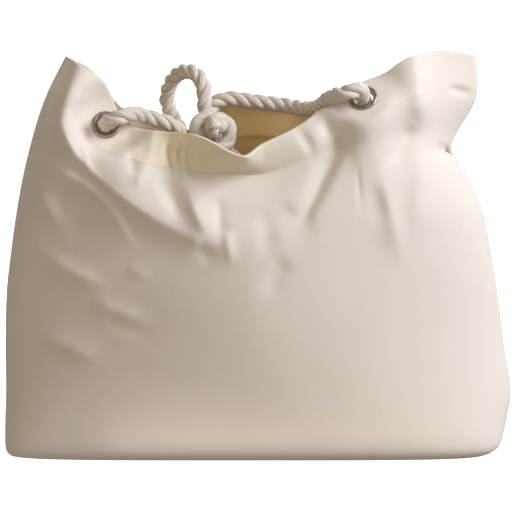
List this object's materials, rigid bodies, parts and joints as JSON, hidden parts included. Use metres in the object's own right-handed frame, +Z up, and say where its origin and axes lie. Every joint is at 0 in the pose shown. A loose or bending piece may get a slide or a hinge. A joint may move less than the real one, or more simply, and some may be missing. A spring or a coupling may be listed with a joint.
{
  "type": "tote bag",
  "caption": "Natural canvas beach tote standing filled and slouched, with metal eyelets and thick twisted cotton rope handles knotted inside the mouth.",
  "frame": {"origin": "on the floor under the middle of the bag", "axes": "+Z up, front panel faces -Y, +X to the viewer's right"},
  "size_m": [0.5078, 0.1899, 0.404],
  "materials": {
    "canvas": "matte plain weave, unbleached",
    "rope": "matte twisted cotton",
    "eyelet_metal": "dark antique satin"
  },
  "bodies": {
    "root": {"front_panel": "canvas", "back_panel": "canvas", "base_panel": "canvas", "eyelet_front_left": "eyelet_metal", "eyelet_front_right": "eyelet_metal", "eyelet_back_left": "eyelet_metal", "eyelet_back_right": "eyelet_metal", "rope_front": "rope", "rope_back": "rope", "knot_front_left": "rope", "knot_front_right": "rope", "knot_back_left": "rope", "knot_back_right": "rope"}
  },
  "joints": []
}
